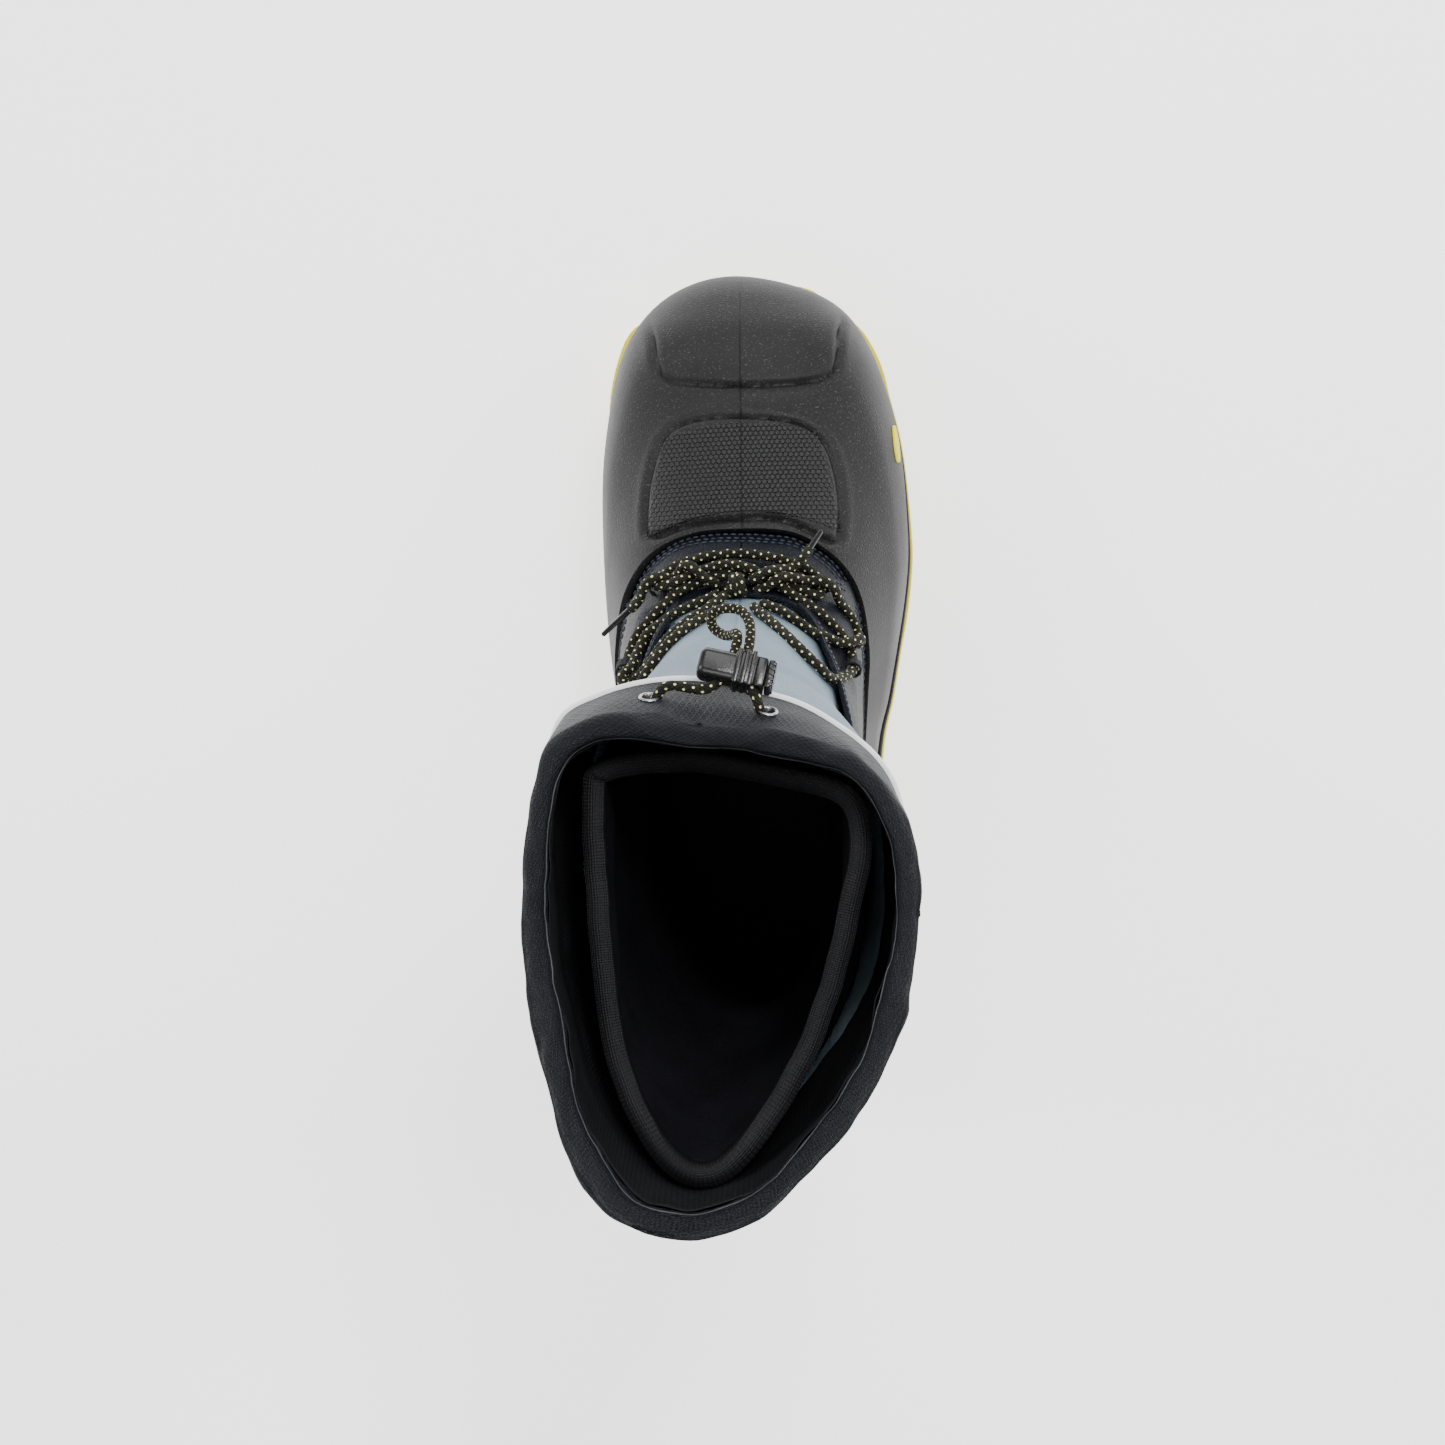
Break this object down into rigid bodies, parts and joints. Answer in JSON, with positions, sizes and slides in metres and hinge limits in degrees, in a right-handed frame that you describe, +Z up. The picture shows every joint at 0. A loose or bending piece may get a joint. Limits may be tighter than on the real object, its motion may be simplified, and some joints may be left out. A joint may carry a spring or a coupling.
{
  "type": "winter pac boot",
  "caption": "Right winter pac boot: moulded shell, leather and nylon upper, bow-tied lace, felt liner, and a snow collar closed by a drawcord with a sprung cord lock.",
  "frame": {"origin": "on the ground under the middle of the boot", "axes": "+Z up, the toe points to -Y, the lateral side to -X"},
  "size_m": [0.1309, 0.3541, 0.3375],
  "materials": {
    "black_rubber": "matte moulded rubber",
    "yellow_rubber": "matte moulded rubber",
    "shell_rubber": "matte speckled moulded elastomer",
    "shank_nylon": "moulded glass-filled nylon",
    "navy_leather": "oiled leather with a soft sheen",
    "grey_nylon": "coated woven nylon",
    "reflective": "reflective tape over cord",
    "collar_ripstop": "ripstop nylon",
    "felt": "brushed felt",
    "binding": "woven tape",
    "foam": "foam with a felt top",
    "counter_plastic": "moulded sheet",
    "lock_plastic": "glossy moulded plastic",
    "steel": "spring wire",
    "eyelet_metal": "bright pressed metal",
    "cord": "braided polyester",
    "webbing": "woven webbing"
  },
  "bodies": {
    "boot": {"tread": "black_rubber", "sole_layer": "yellow_rubber", "midsole_rand": "black_rubber", "shank": "shank_nylon", "shell": "shell_rubber", "side_accent": "yellow_rubber", "vamp_medial": "navy_leather", "vamp_lateral": "navy_leather", "quarter_medial": "navy_leather", "quarter_lateral": "navy_leather", "heel_strap": "navy_leather", "shaft_medial": "grey_nylon", "shaft_lateral": "grey_nylon", "reflective_piping": "reflective", "snow_collar": "collar_ripstop", "felt_liner": "felt", "liner_binding": "binding", "footbed": "foam", "heel_counter": "counter_plastic", "eyelet_medial": "eyelet_metal", "eyelet_lateral": "eyelet_metal", "drawcord": "cord", "drawcord_loop": "cord", "lace_rows": "cord", "lace_knot": "cord", "lace_bow_lateral": "cord", "lace_bow_medial": "cord", "lace_tail_medial": "cord", "lace_tail_lateral": "cord", "aglet_medial": "lock_plastic", "aglet_lateral": "lock_plastic", "keeper_medial_low": "webbing", "keeper_lateral_low": "webbing", "keeper_medial_high": "webbing", "keeper_lateral_high": "webbing"},
    "cord_lock": {"cord_lock_body": "lock_plastic", "cord_lock_spring": "steel"},
    "lock_button": {"cord_lock_button": "lock_plastic"}
  },
  "joints": [
    {"name": "cord_lock_slide", "type": "slide", "parent": "boot", "child": "cord_lock", "axis": [-0.2321, -0.9106, -0.342], "range_m": [0, 0.006]},
    {"name": "lock_button_press", "type": "slide", "parent": "cord_lock", "child": "lock_button", "axis": [0.969, -0.247, 0], "range_m": [0, 0.0024], "stiffness_N_per_m": 800, "springref_m": -0.002, "deforming": ["cord_lock_spring"]}
  ]
}
